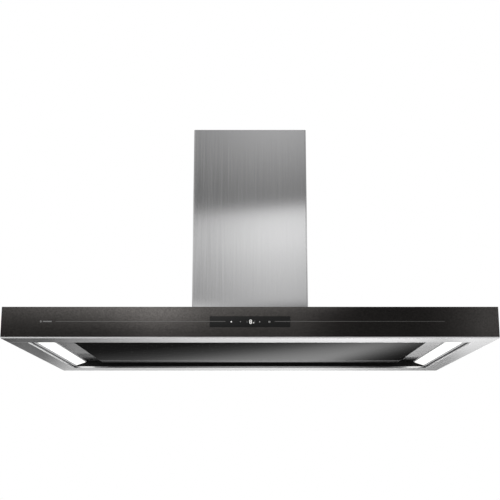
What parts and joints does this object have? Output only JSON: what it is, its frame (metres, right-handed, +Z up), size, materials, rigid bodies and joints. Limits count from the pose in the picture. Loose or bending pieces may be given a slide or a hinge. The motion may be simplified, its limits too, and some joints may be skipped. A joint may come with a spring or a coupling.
{
  "type": "island range hood",
  "caption": "Wide slim island range hood on a square telescopic chimney, with a dark front fascia, end light bars and a hinged perimeter-suction glass panel.",
  "frame": {"origin": "centre of the ceiling plate's top face, which lies against the ceiling", "axes": "+X along the canopy to the right as seen from the front, +Y to the rear, +Z up into the ceiling; the display faces -Y"},
  "size_m": [1.2, 0.65, 0.612],
  "materials": {
    "brushed_steel": "brushed stainless steel, grain along the panel",
    "dark_fascia": "fine metallic graphite coat, satin",
    "black_coat": "satin black coat",
    "galvanised": "zinc coated sheet",
    "black_glass": "opaque black glass, polished",
    "lamp_cover": "opal lamp cover, lit",
    "lamp_body": "pale grey plastic",
    "circuit_board": "coated circuit board",
    "black_plastic": "moulded black plastic",
    "light_line": "pale light guide",
    "aluminium": "rolled aluminium mesh and frame",
    "motor_metal": "grey cast motor body",
    "bright_steel": "turned bright steel",
    "damper_plastic": "dark grey plastic"
  },
  "bodies": {
    "ceiling_mount": {"ceiling_plate": "galvanised", "upper_legs": "galvanised", "upper_chimney_front": "brushed_steel", "upper_chimney_rear": "brushed_steel", "height_lock_bolts": "bright_steel"},
    "hood": {"blower_bolts": "bright_steel", "blower_box": "galvanised", "cable_gland": "black_plastic", "canopy_top": "brushed_steel", "catch_magnets": "black_plastic", "chimney_front": "brushed_steel", "chimney_rear": "brushed_steel", "control_board": "circuit_board", "control_glass": "black_glass", "control_housing": "black_plastic", "damper_pin": "bright_steel", "electronics_box": "black_plastic", "filter_rails": "galvanised", "front_fascia": "dark_fascia", "front_rail": "brushed_steel", "grease_filter_left": "aluminium", "grease_filter_middle": "aluminium", "grease_filter_right": "aluminium", "hinge_brackets": "galvanised", "led_driver": "black_plastic", "led_strips": "circuit_board", "left_rail": "brushed_steel", "left_side_panel": "brushed_steel", "light_diffuser_left": "lamp_cover", "light_diffuser_right": "lamp_cover", "light_housing_left": "lamp_body", "light_housing_right": "lamp_body", "light_lines": "light_line", "long_bulkheads": "black_coat", "lower_frame_tie": "galvanised", "lower_legs": "galvanised", "motor": "motor_metal", "motor_bracket": "bright_steel", "outlet_adapter": "black_plastic", "outlet_collar": "damper_plastic", "rear_fascia": "dark_fascia", "rear_rail": "brushed_steel", "recess_tray": "brushed_steel", "right_rail": "brushed_steel", "right_side_panel": "brushed_steel", "scroll_left": "galvanised", "scroll_right": "galvanised", "side_bulkheads": "galvanised", "terminal_box": "black_plastic"},
    "suction_panel": {"suction_glass": "black_glass", "panel_pan": "galvanised", "hinge_ears": "galvanised", "hinge_pins": "bright_steel"},
    "fan_wheel": {"impeller": "black_plastic", "motor_shaft": "bright_steel"},
    "front_flap": {"damper_flap_front": "damper_plastic"},
    "rear_flap": {"damper_flap_rear": "damper_plastic"},
    "latch_left": {"filter_latch_left": "black_plastic"},
    "latch_middle": {"filter_latch_middle": "black_plastic"},
    "latch_right": {"filter_latch_right": "black_plastic"}
  },
  "joints": [
    {"name": "height_slide", "type": "slide", "parent": "ceiling_mount", "child": "hood", "axis": [0, 0, -1], "range_m": [0, 0.35]},
    {"name": "suction_panel_hinge", "type": "hinge", "parent": "hood", "child": "suction_panel", "pos_m": [0, 0.215, -0.58], "axis": [1, 0, 0], "range_deg": [0, 80]},
    {"name": "fan_spin", "type": "hinge", "parent": "hood", "child": "fan_wheel", "pos_m": [0, 0.012, -0.397], "axis": [1, 0, 0], "continuous": true},
    {"name": "front_flap_hinge", "type": "hinge", "parent": "hood", "child": "front_flap", "pos_m": [0, 0, -0.218], "axis": [-1, 0, 0], "range_deg": [0, 80]},
    {"name": "rear_flap_hinge", "type": "hinge", "parent": "hood", "child": "rear_flap", "pos_m": [0, 0, -0.218], "axis": [1, 0, 0], "range_deg": [0, 80]},
    {"name": "filter_latch_left_slide", "type": "slide", "parent": "hood", "child": "latch_left", "axis": [0, 1, 0], "range_m": [0, 0.006], "stiffness_N_per_m": 300, "springref_m": -0.002},
    {"name": "filter_latch_middle_slide", "type": "slide", "parent": "hood", "child": "latch_middle", "axis": [0, 1, 0], "range_m": [0, 0.006], "stiffness_N_per_m": 300, "springref_m": -0.002},
    {"name": "filter_latch_right_slide", "type": "slide", "parent": "hood", "child": "latch_right", "axis": [0, 1, 0], "range_m": [0, 0.006], "stiffness_N_per_m": 300, "springref_m": -0.002}
  ]
}
